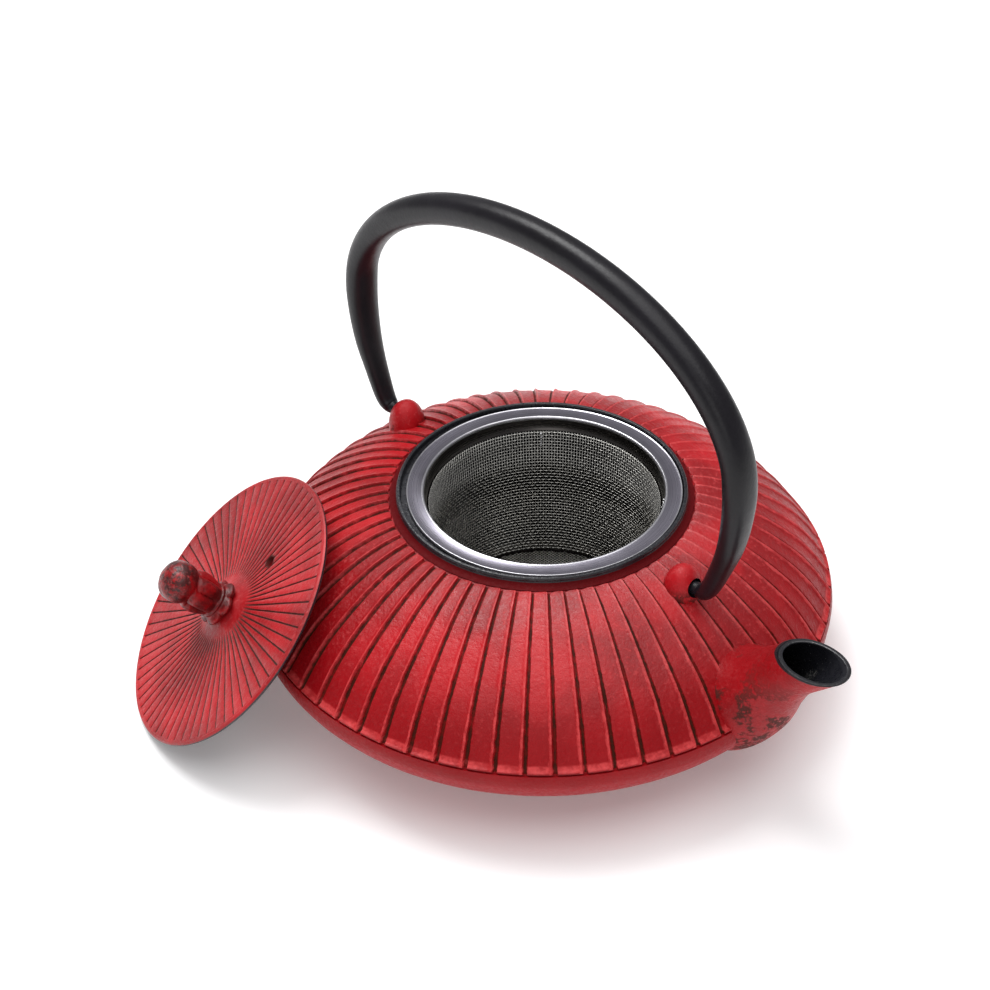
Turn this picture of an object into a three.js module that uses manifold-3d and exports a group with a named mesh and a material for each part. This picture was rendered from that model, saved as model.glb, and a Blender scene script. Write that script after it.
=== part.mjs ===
// Cast iron teapot of the tetsubin kind: a wide flattened pot with a bail handle, a drop-in steel
// strainer and a loose lid that leans against the pot's side.
// Millimetres, +Z up. The origin is on the table, on the pot's axis. The spout points along +X.
import * as THREE from "three";
import * as BufferGeometryUtils from "three/addons/utils/BufferGeometryUtils.js";
import Module from "manifold-3d";

const wasm = await Module();
wasm.setup();

// Pot casting
const rimTop = 60.6; // height of the black rim
const rimOuterRadius = 42.3;
const rimDrop = 1.5; // short upright wall under the rim's edge
const seatRadius = 41.0; // ledge that the strainer drops into
const seatHeight = 58.7;
const mouthRadius = 37.2; // clear opening under the ledge
const bellyRadius = 86.5;
const bellyHeight = 25.9; // height of the widest line
const footRadius = 50;
const floorHeight = 4.6; // inside, above the table
const bellyBase = 2.6; // where the belly's curve meets the foot
const wall = 3.1;
const potSegments = 66; // one facet to each rib of the real casting
// Shoulder curve from the rim to the widest line: [radius, height]
const shoulder = [[44, 58.6], [50, 57.1], [57, 54.3], [64, 50.3], [71, 45.4], [77, 40.2], [82.5, 33.4]];

// Handle lugs
const hingeHeight = 56.6;
const lugCentre = 56.2; // distance of each lug from the pot's axis
const lugHalf = [5.4, 5.7, 8.0];
const lugSink = 2.9; // the lug's middle lies this far under the hinge line
const lugHoleRadius = 2.3;
const lugHoleFrom = 54.6; // the holes are blind and open outwards

// Handle: the arch is half an ellipse, and its arms turn in to the lugs
const archHalfWidth = 73.6;
const archBase = 96.4;
const archRise = 46.2;
const armSection = [3.9, 5.1]; // half sizes in the arch's plane and along Y, at the shoulders
const crownSection = [4.6, 4.3]; // the same at the top
const handleShift = -1.8; // lugs and handle sit a little towards the back
const handlePinRadius = 1.9;
const handlePinEnd = 55.2;

// Lid
const lidRadius = 42.85;
const lidRise = 2.4; // the top is a low cone
const lidThickness = 2.6;
const lidFlangeRadius = 33.4;
const lidFlangeWall = 2.2;
const lidFlangeDepth = 3.8;
const lidLean = 45.6; // degrees from lying flat
const lidDirection = 239; // degrees round from the spout
const lidPlace = [-51, -78.6];
const lidEdge = 0.9; // upright edge under the top plane
const ventRadius = 1.7;
const ventPlace = [-20, 0];

// Knob, a blossom on a collar, with a threaded stem through the lid
const stemRadius = 2.4;
const petalCount = 6;

// Strainer
const strainerOffset = [0.55, 0.5]; // it sits loose in its seat
const ringOuterRadius = 40;
const ringInnerRadius = 35;
const ringThickness = 1.0;
const collarDepth = 4.6;
const collarWall = 0.6;
const basketTopRadius = 33.8;
const basketBottomRadius = 30.5;
const basketWall = 0.5;
const basketDepth = 48.4;
const hoopHeight = 3.2;
const gap = 0.3; // between touching pieces

const red = { color: 0xa02328, roughness: 0.45, metalness: 0.1 };
const knobRed = { color: 0x8c0508, roughness: 0.35, metalness: 0.1 };
const black = { color: 0x26242a, roughness: 0.4, metalness: 0.3 };
const steel = { color: 0xb9b8bc, roughness: 0.3, metalness: 0.9 };
const meshSteel = { color: 0x77777a, roughness: 0.45, metalness: 0.8 };

// ---------- helpers ----------

function closed(geometry) {
  const bare = geometry.clone();
  bare.deleteAttribute("normal");
  bare.deleteAttribute("uv");
  return BufferGeometryUtils.mergeVertices(bare, 1e-4);
}

function toSolid(geometry) {
  const g = closed(geometry);
  const mesh = new wasm.Mesh({
    numProp: 3,
    vertProperties: new Float32Array(g.attributes.position.array),
    triVerts: new Uint32Array(g.index.array),
  });
  return new wasm.Manifold(mesh);
}

function toGeometry(solid) {
  const mesh = solid.getMesh();
  const g = new THREE.BufferGeometry();
  g.setAttribute("position", new THREE.BufferAttribute(new Float32Array(mesh.vertProperties), 3));
  g.setIndex(new THREE.BufferAttribute(new Uint32Array(mesh.triVerts), 1));
  return g;
}

// Turns a profile of [radius, height] points, run from the bottom up the outside, round the Z axis.
function turned(profile, segments = potSegments) {
  const points = profile.map(([r, z]) => new THREE.Vector2(r, z));
  return new THREE.LatheGeometry(points, segments).rotateX(Math.PI / 2);
}

// Skins a row of rings of points, all with the same count, and closes both ends with a fan.
function loft(rings) {
  const count = rings[0].length;
  const vertices = [];
  for (const ring of rings) for (const p of ring) vertices.push(p.x, p.y, p.z);
  for (const ring of [rings[0], rings[rings.length - 1]]) {
    const middle = ring.reduce((sum, p) => sum.add(p), new THREE.Vector3()).divideScalar(count);
    vertices.push(middle.x, middle.y, middle.z);
  }
  const start = rings.length * count;
  const last = (rings.length - 1) * count;
  const faces = [];
  for (let i = 0; i < count; i++) {
    const j = (i + 1) % count;
    for (let k = 0; k < rings.length - 1; k++) {
      const a = k * count;
      const b = a + count;
      faces.push(a + i, a + j, b + j, a + i, b + j, b + i);
    }
    faces.push(start, j, i, start + 1, last + i, last + j);
  }
  const g = new THREE.BufferGeometry();
  g.setAttribute("position", new THREE.Float32BufferAttribute(vertices, 3));
  g.setIndex(faces);
  return g;
}

// A flat oval in the plane across `along`, which lies in the XZ plane. `inPlane` is its half size
// there and `across` its half size along Y.
function oval(centre, along, inPlane, across, count) {
  const side = new THREE.Vector3(0, 1, 0);
  const up = new THREE.Vector3().crossVectors(along, side).normalize();
  const ring = [];
  for (let i = 0; i < count; i++) {
    const t = (2 * Math.PI * i) / count;
    const point = centre.clone().addScaledVector(side, across * Math.cos(t));
    ring.push(point.addScaledVector(up, inPlane * Math.sin(t)));
  }
  return ring;
}

function ellipseArc(cx, cz, rx, rz, from, to, steps) {
  const curve = new THREE.EllipseCurve(cx, cz, rx, rz, from, to, to < from);
  return curve.getPoints(steps).map((p) => [p.x, p.y]);
}

function smooth(points, steps) {
  const curve = new THREE.SplineCurve(points.map(([x, y]) => new THREE.Vector2(x, y)));
  return curve.getPoints(steps).map((p) => [p.x, p.y]);
}

function piece(name, geometry, look) {
  const mesh = new THREE.Mesh(geometry, new THREE.MeshStandardMaterial(look));
  mesh.name = name;
  return mesh;
}

// ---------- pot: bowl, shoulder with its lugs, and spout ----------

// Lower half: a quarter ellipse that the foot cuts off.
const bellyDrop = (bellyHeight - bellyBase) / Math.sqrt(1 - (footRadius / bellyRadius) ** 2);

function potOutside() {
  const cut = Math.acos(footRadius / bellyRadius);
  return [
    [0, 0],
    [footRadius - 0.8, 0],
    [footRadius, 0.8],
    ...ellipseArc(0, bellyHeight, bellyRadius, bellyDrop, -cut, 0, 5),
    ...smooth([[bellyRadius, bellyHeight], ...shoulder.slice().reverse()], 9).slice(1),
    [rimOuterRadius, rimTop - rimDrop],
    [rimOuterRadius, rimTop],
    [0, rimTop],
  ];
}

function potHollow() {
  const inner = bellyRadius - wall;
  const innerDrop = bellyHeight - floorHeight;
  const flat = 22; // radius of the flat part of the floor
  const underside = shoulder.slice().reverse().map(([r, z]) => [r - wall * 0.55, z - wall * 0.85]);
  return [
    [0, floorHeight],
    ...ellipseArc(0, bellyHeight, inner, innerDrop, -Math.PI / 2 + Math.asin(flat / inner), 0, 5),
    ...smooth([[inner, bellyHeight], ...underside], 7).slice(1),
    [mouthRadius, seatHeight - 4.2],
    [mouthRadius, seatHeight],
    [seatRadius, seatHeight],
    [seatRadius, rimTop + 1],
    [0, rimTop + 1],
  ];
}

// Spout rings from the root inside the wall to the level-cut mouth:
// [x, z, tilt of the ring in degrees from upright, half size in the XZ plane, half size along Y]
const spoutRings = [
  [66, 24.5, 10, 16.5, 16.0],
  [76.5, 28.0, 22, 15.4, 15.0],
  [84.5, 35.0, 38, 12.0, 12.2],
  [89.6, 43.0, 50, 9.0, 9.2],
  [94.2, 49.4, 66, 8.0, 8.0],
  [100.4, 55.7, 90, 10.4, 7.9],
];
const spoutWall = [2.4, 1.3]; // at the root and at the lip
const borePast = 4; // how far the bore's tool runs on past the mouth
const boreBack = 12; // and back from the root

function spoutShape(isBore) {
  const last = spoutRings.length - 1;
  const rings = spoutRings.map(([x, z, tilt, inPlane, across], k) => {
    const shrink = isBore ? THREE.MathUtils.lerp(...spoutWall, k / last) : 0;
    return { centre: new THREE.Vector3(x, 0, z), tilt, inPlane: inPlane - shrink, across: across - shrink };
  });
  if (isBore) {
    const mouth = rings[last];
    const past = new THREE.Vector3(borePast * 0.5, 0, borePast);
    rings.push({ ...mouth, centre: mouth.centre.clone().add(past) });
    rings[0].centre.x -= boreBack;
  }
  const track = (pick) => new THREE.CatmullRomCurve3(rings.map((r) => new THREE.Vector3(...pick(r))));
  const centres = track((r) => [r.centre.x, 0, r.centre.z]);
  const shapes = track((r) => [r.tilt, r.inPlane, r.across]);
  const steps = 12;
  const out = [];
  for (let i = 0; i <= steps; i++) {
    const t = i / steps;
    const s = shapes.getPoint(t);
    const angle = THREE.MathUtils.degToRad(s.x);
    const along = new THREE.Vector3(Math.cos(angle), 0, Math.sin(angle));
    out.push(oval(centres.getPoint(t), along, s.y, s.z, 24));
  }
  return loft(out);
}

function lug(side) {
  const g = new THREE.SphereGeometry(1, 16, 12).scale(...lugHalf);
  return g.translate(side * lugCentre + handleShift, 0, hingeHeight - lugSink);
}

function lugHole(side) {
  const length = 10;
  const g = new THREE.CylinderGeometry(lugHoleRadius, lugHoleRadius, length, 16).rotateZ(Math.PI / 2);
  return g.translate(side * (lugHoleFrom + length / 2) + handleShift, 0, hingeHeight);
}

// The casting comes apart at its parting line and at the spout's root, as three solids that nearly
// touch, so that each hollow opens straight out of its own solid.
const partingGap = 0.1;

function potParts() {
  const outside = toSolid(turned(potOutside()));
  const hollow = toSolid(turned(potHollow()));
  const bore = toSolid(spoutShape(true));
  let shell = outside;
  for (const side of [-1, 1]) shell = shell.add(toSolid(lug(side)));
  shell = shell.subtract(hollow).subtract(bore);
  for (const side of [-1, 1]) shell = shell.subtract(toSolid(lugHole(side)));
  const clearOfShell = 1 + partingGap / bellyRadius;
  const spout = toSolid(spoutShape(false)).subtract(outside.scale(clearOfShell)).subtract(bore);
  const bowl = shell.trimByPlane([0, 0, -1], -(bellyHeight - partingGap / 2));
  const dome = shell.trimByPlane([0, 0, 1], bellyHeight + partingGap / 2);
  return [["pot_bowl", bowl], ["pot_shoulder", dome], ["spout", spout]]
    .map(([name, solid]) => piece(name, toGeometry(solid), red));
}

// ---------- handle ----------

function handleRings() {
  const rings = [];
  const side = [
    [handlePinEnd, hingeHeight, handlePinRadius, handlePinRadius],
    [61, hingeHeight, handlePinRadius, handlePinRadius],
    [63.6, hingeHeight + 0.5, 2.3, 2.7],
    [66, hingeHeight + 3.4, 2.6, 3.2],
    [69.6, 69.5, 2.9, 3.7],
    [72, 77.5, 3.3, 4.3],
    [73.4, 87, 3.6, 4.8],
  ];
  const arch = 16;
  const points = side.map(([x, z]) => new THREE.Vector3(x, 0, z));
  const sizes = side.map(([, , inPlane, across]) => [inPlane, across]);
  for (let i = 0; i <= arch; i++) {
    const t = (Math.PI * i) / arch;
    points.push(new THREE.Vector3(archHalfWidth * Math.cos(t), 0, archBase + archRise * Math.sin(t)));
    sizes.push(armSection.map((size, k) => THREE.MathUtils.lerp(size, crownSection[k], Math.sin(t))));
  }
  for (const [x, z, inPlane, across] of side.slice().reverse()) {
    points.push(new THREE.Vector3(-x, 0, z));
    sizes.push([inPlane, across]);
  }
  for (let i = 0; i < points.length; i++) {
    const before = points[Math.max(i - 1, 0)];
    const after = points[Math.min(i + 1, points.length - 1)];
    const along = new THREE.Vector3().subVectors(after, before).normalize();
    rings.push(oval(points[i], along, sizes[i][0], sizes[i][1], 12));
  }
  return rings.map((ring) => ring.map((p) => p.setX(p.x + handleShift)));
}

// ---------- lid, knob and knob nut, in the lid's own frame with its top plane at z = 0 ----------

function lidDisc() {
  const rise = lidRise;
  const under = -lidThickness;
  const flange = lidFlangeRadius;
  const disc = toSolid(turned([
    [0, under],
    [flange - lidFlangeWall, under],
    [flange - lidFlangeWall, under - lidFlangeDepth],
    [flange, under - lidFlangeDepth],
    [flange, under + 0.3],
    [lidRadius - 2.2, under + 0.6],
    [lidRadius, -lidEdge],
    [lidRadius, 0],
    [lidRadius - 1.2, 0.3],
    [16, 0.5],
    [9, 0.9],
    [5, rise],
    [0, rise],
  ], 48));
  const vent = new THREE.CylinderGeometry(ventRadius, ventRadius, 12, 12).rotateX(Math.PI / 2);
  const stemHole = new THREE.CylinderGeometry(stemRadius + gap, stemRadius + gap, 20, 16).rotateX(Math.PI / 2);
  const cut = disc.subtract(toSolid(vent.translate(...ventPlace, 0))).subtract(toSolid(stemHole));
  return piece("lid", toGeometry(cut), red);
}

function knob() {
  const base = lidRise + gap;
  const rows = [
    [4.2, 6.2, 0.08],
    [5.1, 5.4, 0.02],
    [6.0, 5.3, 0.02],
    [6.8, 5.1, 0.03],
    [9.0, 5.6, 0.05],
    [12, 5.8, 0.06],
    [14.6, 5.2, 0.03],
    [16.6, 6.1, 0.04],
    [18.6, 6.1, 0.03],
    [20.8, 5.1, 0.02],
    [22.6, 2.8, 0],
    [23.3, 1.1, 0],
  ];
  const sides = 24;
  const ringAt = (z, radius, wave) => {
    const ring = [];
    for (let i = 0; i < sides; i++) {
      const a = (2 * Math.PI * i) / sides;
      const r = radius * (1 + wave * Math.cos(a * petalCount));
      ring.push(new THREE.Vector3(r * Math.cos(a), r * Math.sin(a), z));
    }
    return ring;
  };
  const top = ringAt(base, 6.6, 0.08);
  const body = loft([top, ...rows.map(([z, r, w]) => ringAt(base - lidRise + z, r, w))]);
  const stem = new THREE.CylinderGeometry(stemRadius, stemRadius, 9.5, 16).rotateX(Math.PI / 2);
  stem.translate(0, 0, base - 4.0);
  return piece("lid_knob", toGeometry(toSolid(body).add(toSolid(stem))), knobRed);
}

function knobNut() {
  const outline = new THREE.Shape();
  const across = 4.6;
  for (let i = 0; i < 6; i++) {
    const a = (Math.PI / 3) * i;
    outline[i ? "lineTo" : "moveTo"](across * Math.cos(a), across * Math.sin(a));
  }
  outline.closePath();
  const hole = new THREE.Path();
  hole.absarc(0, 0, stemRadius + gap, 0, 2 * Math.PI, true);
  outline.holes.push(hole);
  const g = new THREE.ExtrudeGeometry(outline, { depth: 2.6, bevelEnabled: false, curveSegments: 12 });
  g.translate(0, 0, -lidThickness - gap - 2.6);
  return piece("knob_nut", g, steel);
}

// ---------- strainer, in its own frame with the ring's top at z = 0 ----------

function strainer() {
  const group = new THREE.Group();
  const collarOuter = ringInnerRadius + 0.3;
  const ring = turned([
    [collarOuter - collarWall, -collarDepth],
    [collarOuter, -collarDepth],
    [collarOuter, -ringThickness],
    [ringOuterRadius - 0.5, -ringThickness],
    [ringOuterRadius, -ringThickness / 2],
    [ringOuterRadius - 0.4, 0],
    [ringInnerRadius + 0.5, 0],
    [ringInnerRadius - 0.3, -0.5],
    [collarOuter - collarWall, -collarDepth],
  ], 64);
  group.add(piece("strainer_ring", ring, steel));
  const wallTop = -1.8;
  const bottom = -basketDepth;
  const meshWall = turned([
    [basketBottomRadius - basketWall, bottom + 0.6],
    [basketBottomRadius, bottom + 0.6],
    [basketTopRadius, wallTop],
    [basketTopRadius - basketWall, wallTop],
    [basketBottomRadius - basketWall, bottom + 0.6],
  ], 48);
  group.add(piece("strainer_wall", meshWall, meshSteel));
  const hoopInner = basketBottomRadius + 0.65;
  const hoop = turned([
    [basketBottomRadius - 2, bottom - 0.6],
    [hoopInner + 0.6, bottom - 0.6],
    [hoopInner + 0.8, bottom + hoopHeight],
    [hoopInner + 0.2, bottom + hoopHeight],
    [hoopInner, bottom],
    [basketBottomRadius - 2, bottom],
    [basketBottomRadius - 2, bottom - 0.6],
  ], 48);
  group.add(piece("strainer_hoop", hoop, steel));
  const floorRadius = basketBottomRadius - basketWall - gap;
  const floor = turned([
    [0, bottom + gap],
    [floorRadius, bottom + gap],
    [floorRadius, bottom + gap + basketWall],
    [0, bottom + gap + basketWall],
  ], 48);
  group.add(piece("strainer_floor", floor, meshSteel));
  group.position.set(...strainerOffset, seatHeight + gap + ringThickness);
  return group;
}

// ---------- assembly ----------

const teapot = new THREE.Group();
teapot.add(...potParts());
teapot.add(piece("handle", loft(handleRings()), black));

const lean = THREE.MathUtils.degToRad(lidLean);
const lidGroup = new THREE.Group();
lidGroup.add(lidDisc(), knob(), knobNut());
lidGroup.rotation.set(0, lean, THREE.MathUtils.degToRad(lidDirection), "ZYX");
const clearance = 0.1; // over the table
lidGroup.position.set(...lidPlace, lidRadius * Math.sin(lean) + lidEdge * Math.cos(lean) + clearance);
teapot.add(lidGroup);
teapot.add(strainer());

export default teapot;
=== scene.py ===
# Cast iron teapot with parasol ribs, bail handle, leaning lid and drop-in strainer.
# Sizes in the dictionaries are millimetres unless a note says otherwise; meshes are made in metres.
import bpy
import bmesh
from math import acos, cos, hypot, pi, radians, sin, sqrt
from mathutils import Matrix, Vector


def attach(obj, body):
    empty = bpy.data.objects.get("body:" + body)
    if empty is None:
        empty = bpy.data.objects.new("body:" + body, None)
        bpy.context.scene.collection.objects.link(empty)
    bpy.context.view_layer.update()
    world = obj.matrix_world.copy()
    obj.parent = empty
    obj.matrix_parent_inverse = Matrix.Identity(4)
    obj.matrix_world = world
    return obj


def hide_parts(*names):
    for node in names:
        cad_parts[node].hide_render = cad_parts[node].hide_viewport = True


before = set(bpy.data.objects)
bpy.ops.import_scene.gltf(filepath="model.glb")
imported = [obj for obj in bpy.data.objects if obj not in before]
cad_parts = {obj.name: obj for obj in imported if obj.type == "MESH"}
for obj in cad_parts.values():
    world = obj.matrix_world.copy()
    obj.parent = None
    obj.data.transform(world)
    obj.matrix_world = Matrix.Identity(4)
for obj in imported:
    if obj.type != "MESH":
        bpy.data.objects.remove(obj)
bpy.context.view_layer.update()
mm = 0.001
scene = bpy.context.scene

# camera and studio
camera = dict(
    place=(0.3342, -0.3400, 0.4243),
    right=(0.7009, 0.7132, -0.0145),
    up=(-0.4272, 0.4359, 0.7921),
    lens=75.44,
)
studio = dict(
    world=(0.30, 0.30, 0.31),
    worldStrength=1.0,
    floorColour=(0.90, 0.90, 0.90),
    floorSize=9.0,  # metres
    floorGlow=0.15,  # thins the shadows
    lightTarget=(0.0, 0.0, 0.04),
    # place in metres, watts, size in metres
    keyLight=((-0.62, 0.06, 1.25), 13.0, 0.75),
    topLight=((0.15, -0.1, 2.1), 34.0, 2.4),
    fillLight=((1.1, -1.3, 0.75), 3.0, 0.9),
)


def placeCamera():
    data = bpy.data.cameras.new("viewCamera")
    data.lens = camera["lens"]
    data.sensor_width = 36
    obj = bpy.data.objects.new("viewCamera", data)
    right, up = Vector(camera["right"]).normalized(), Vector(camera["up"]).normalized()
    turn = Matrix((right, up, right.cross(up))).transposed().to_4x4()
    obj.matrix_world = Matrix.Translation(camera["place"]) @ turn
    scene.collection.objects.link(obj)
    scene.camera = obj


def placeLight(name, place, watts, size):
    data = bpy.data.lights.new(name, "AREA")
    data.shape = "SQUARE"
    data.size = size
    data.energy = watts
    obj = bpy.data.objects.new(name, data)
    aim = (Vector(studio["lightTarget"]) - Vector(place)).to_track_quat("-Z", "Y")
    obj.matrix_world = Matrix.Translation(place) @ aim.to_matrix().to_4x4()
    scene.collection.objects.link(obj)


# ---- mesh helpers

def meshPiece(name, points, faces, materials=()):
    mesh = bpy.data.meshes.new(name)
    mesh.from_pydata([(x * mm, y * mm, z * mm) for x, y, z in points], [], faces)
    for material in materials:
        mesh.materials.append(material)
    mesh.update()
    obj = bpy.data.objects.new(name, mesh)
    scene.collection.objects.link(obj)
    return obj


def soften(obj, sharpAngle=40):
    obj.data.shade_smooth()
    obj.data.set_sharp_from_angle(angle=radians(sharpAngle))


def faceOut(obj):
    work = bmesh.new()
    work.from_mesh(obj.data)
    bmesh.ops.remove_doubles(work, verts=work.verts, dist=1e-6)
    bmesh.ops.recalc_face_normals(work, faces=work.faces)
    work.to_mesh(obj.data)
    work.free()


def baked(obj):
    # the modified shape becomes a plain mesh
    bpy.context.view_layer.update()
    graph = bpy.context.evaluated_depsgraph_get()
    mesh = bpy.data.meshes.new_from_object(obj.evaluated_get(graph))
    obj.modifiers.clear()
    obj.data = mesh
    return obj


def smoothLine(points, steps):
    # even curve through every point, with `steps` spans between neighbours
    out = []
    last = len(points) - 1
    for i in range(last):
        p = [points[max(i - 1, 0)], points[i], points[i + 1], points[min(i + 2, last)]]
        for k in range(steps):
            t = k / steps
            w = (-t + 2 * t * t - t ** 3, 2 - 5 * t * t + 3 * t ** 3,
                 t + 4 * t * t - 3 * t ** 3, t ** 3 - t * t)
            out.append(tuple(0.5 * sum(w[j] * p[j][c] for j in range(4))
                             for c in range(len(points[0]))))
    out.append(tuple(points[-1]))
    return out


def loft(name, rings, materials=()):
    # skins closed rings of points and fans both ends shut
    count = len(rings[0])
    points = [p for ring in rings for p in ring]
    for ring in (rings[0], rings[-1]):
        points.append(tuple(sum(p[c] for p in ring) / count for c in range(3)))
    tail = len(points) - 2
    last = (len(rings) - 1) * count
    faces = []
    for i in range(count):
        j = (i + 1) % count
        for k in range(len(rings) - 1):
            a, b = k * count, (k + 1) * count
            faces.append((a + i, a + j, b + j, b + i))
        faces.append((tail, j, i))
        faces.append((tail + 1, last + i, last + j))
    obj = meshPiece(name, points, faces, materials)
    faceOut(obj)
    return obj


def turned(name, profile, count, materials=(), closedLoop=False):
    # turns a [radius, height] profile round the Z axis; a radius of 0 makes a pole
    points, rows, faces = [], [], []
    for r, z in profile:
        if r < 1e-6:
            rows.append([len(points)] * count)
            points.append((0, 0, z))
        else:
            rows.append(list(range(len(points), len(points) + count)))
            points += [(r * c, r * s, z) for c, s in around(count)]
    pairs = list(zip(rows[:-1], rows[1:]))
    if closedLoop:
        pairs.append((rows[-1], rows[0]))
    for low, high in pairs:
        for i in range(count):
            j = (i + 1) % count
            face = []
            for v in (low[i], low[j], high[j], high[i]):
                if v not in face:
                    face.append(v)
            if len(face) > 2:
                faces.append(tuple(face))
    obj = meshPiece(name, points, faces, materials)
    faceOut(obj)
    return obj


def around(count):
    # [cosine, sine] of evenly spaced turns
    return [(cos(2 * pi * i / count), sin(2 * pi * i / count)) for i in range(count)]


def paintSlot(obj, slot):
    for face in obj.data.polygons:
        face.material_index = slot
    return obj


def giveSlots(obj, slots):
    obj.data.materials.clear()
    for material in slots:
        obj.data.materials.append(material)


def carve(obj, steps):
    # joins or cuts with the other solids in order, then drops them
    for operation, other in steps:
        modifier = obj.modifiers.new(other.name, "BOOLEAN")
        modifier.operation = operation
        modifier.solver = "MANIFOLD"
        modifier.object = other
    baked(obj)
    for _, other in steps:
        bpy.data.objects.remove(other)
    return obj


def ovalRing(centre, along, inPlane, across, count, power=2.0):
    # an oval across `along`, which lies in the XZ plane; power over 2 squares it up a little
    up = (-along[1], along[0])  # (x, z)
    ring = []
    for c, s in around(count):
        c = abs(c) ** (2 / power) * (1 if c > 0 else -1)
        s = abs(s) ** (2 / power) * (1 if s > 0 else -1)
        ring.append((centre[0] + up[0] * inPlane * s, across * c, centre[1] + up[1] * inPlane * s))
    return ring


# ---- node helpers

making = {}  # the material and the node tree begun last, which take every new node


def node(kind, inputs=None, output=0, **settings):
    tree = making["tree"]
    made = tree.nodes.new(kind)
    for key, value in settings.items():
        setattr(made, key, value)
    for key, value in (inputs or {}).items():
        for one in value if isinstance(value, list) else [value]:
            if isinstance(one, bpy.types.NodeSocket):
                tree.links.new(one, made.inputs[key])
            else:
                made.inputs[key].default_value = one
    return made.outputs[output] if output is not None else made.outputs


def calc(operation, *values):
    return node("ShaderNodeMath", dict(enumerate(values)), operation=operation)


def times(*values):
    out = values[0]
    for value in values[1:]:
        out = calc("MULTIPLY", out, value)
    return out


def plus(one, two):
    return calc("ADD", one, two)


def minus(one, two):
    return calc("SUBTRACT", one, two)


def timesPlus(value, factor, extra):
    return calc("MULTIPLY_ADD", value, factor, extra)


def larger(one, two):
    return calc("MAXIMUM", one, two)


def band(value, low, high, start=0.0, end=1.0):
    # soft step: start below low, end above high
    return node("ShaderNodeMapRange", {"Value": value, "From Min": low, "From Max": high, "To Min": start,
                                       "To Max": end}, interpolation_type="SMOOTHSTEP")


def fall(value, low, high):
    return band(value, low, high, 1.0, 0.0)


def window(value, low, full, last, high):
    # up from low to full, down from last to high
    return times(band(value, low, full), fall(value, last, high))


def grain(where, scale, detail=3.0, rough=0.55):
    return node("ShaderNodeTexNoise", {
        "Vector": where, "Scale": scale, "Detail": detail, "Roughness": rough})


def wobble(where, scale, detail, rough, size):
    # noise on either side of 0
    return times(minus(grain(where, scale, detail, rough), 0.5), size)


def blend(factor, first, second):
    first, second = ((*value, 1) if isinstance(value, tuple) else value for value in (first, second))
    return node("ShaderNodeMix", {0: factor, 6: first, 7: second}, 2, data_type="RGBA")


def bump(height, strength, distance, below=None):
    inputs = {"Height": height, "Strength": strength, "Distance": distance}
    if below is not None:
        inputs["Normal"] = below
    return node("ShaderNodeBump", inputs)


def splitPlace(where):
    # x, y, z and the distance from the Z axis
    x, y, z = node("ShaderNodeSeparateXYZ", {0: where}, None)
    return x, y, z, calc("SQRT", plus(times(x, x), times(y, y)))


def joinPlace(x, y, z):
    return node("ShaderNodeCombineXYZ", {"X": x, "Y": y, "Z": z})


def finish(name, colour, rough, normal=None, specular=0.5, others=None):
    # plugs the finish worked out in the tree begun last into its shader
    material, tree = making["material"], making["tree"]
    material.name = name
    shader = tree.nodes["Principled BSDF"]
    values = {"Base Color": colour, "Roughness": rough, "Normal": normal, "Specular IOR Level": specular}
    for label, value in {**values, **(others or {})}.items():
        if isinstance(value, bpy.types.NodeSocket):
            tree.links.new(value, shader.inputs[label])
        elif value is not None:
            shader.inputs[label].default_value = value
    return material


def beginMaterial(attribute=None):
    # gives the place that the finish's noises are laid out by
    material = bpy.data.materials.new("finish")
    material.use_nodes = True
    making.update(material=material, tree=material.node_tree)
    if attribute:
        return node("ShaderNodeAttribute", output="Vector", attribute_name=attribute)
    return node("ShaderNodeTexCoord", output="Object")


def geometryTree(name, **labels):
    # labels of the group's inputs by kind
    tree = bpy.data.node_groups.new(name, "GeometryNodeTree")
    tree.is_modifier = True
    making["tree"] = tree
    for kind, ofKind in labels.items():
        for label in ofKind:
            tree.interface.new_socket(name=label, in_out="INPUT", socket_type="NodeSocket" + kind)
    tree.interface.new_socket(name="Mesh", in_out="OUTPUT", socket_type="NodeSocketGeometry")
    return tree, node("NodeGroupInput", output=None)


def endTree(tree, result):
    node("NodeGroupOutput", {0: result}, None)
    return tree


def runTree(obj, tree, values):
    modifier = obj.modifiers.new(tree.name, "NODES")
    modifier.node_group = tree
    for item in tree.interface.items_tree:
        if item.item_type == "SOCKET" and item.in_out == "INPUT" and item.name in values:
            modifier[item.identifier] = values[item.name]
    return baked(obj)


def emptyPiece(name):
    obj = bpy.data.objects.new(name, bpy.data.meshes.new(name))
    scene.collection.objects.link(obj)
    return obj


placeCamera()

# ---- finishes
paint = dict(
    # deep red: the enamel's darker tone, also laid on as painted shade low on the body and over the spout
    deep=(0.27, 0.0018, 0.0045),
    fresh=(0.49, 0.0055, 0.0110),
    # lighter rubbed red: wear, and on the casting's bead crests and lip also painted highlight
    worn=(0.64, 0.060, 0.062),
    patina=(0.034, 0.0110, 0.0062),
    # painted shade for the band between the ribs and the rim
    shade=(0.085, 0.0003, 0.0018),
    # lighter red for the band under the ribs: painted bounce light from the floor
    sand=(0.40, 0.024, 0.030),
    roughness=(0.34, 0.56),
)
ribs = dict(count=66, firstGroove=0.6)  # on pot and lid; degrees from the spout
spots = dict(vent=(-0.020, 0.0, 0.0004), ringOffset=(0.00055, 0.0005, 0.0))  # metres


def ribCoordinates(azimuth, radius, first):
    # distances in metres to the groove on either side, and the rib's width
    pitch = 2 * pi / ribs["count"]
    width = times(radius, pitch)
    right = times(calc("FRACT", calc("DIVIDE", minus(azimuth, radians(first)), pitch)), width)
    return width, right, minus(width, right)


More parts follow.
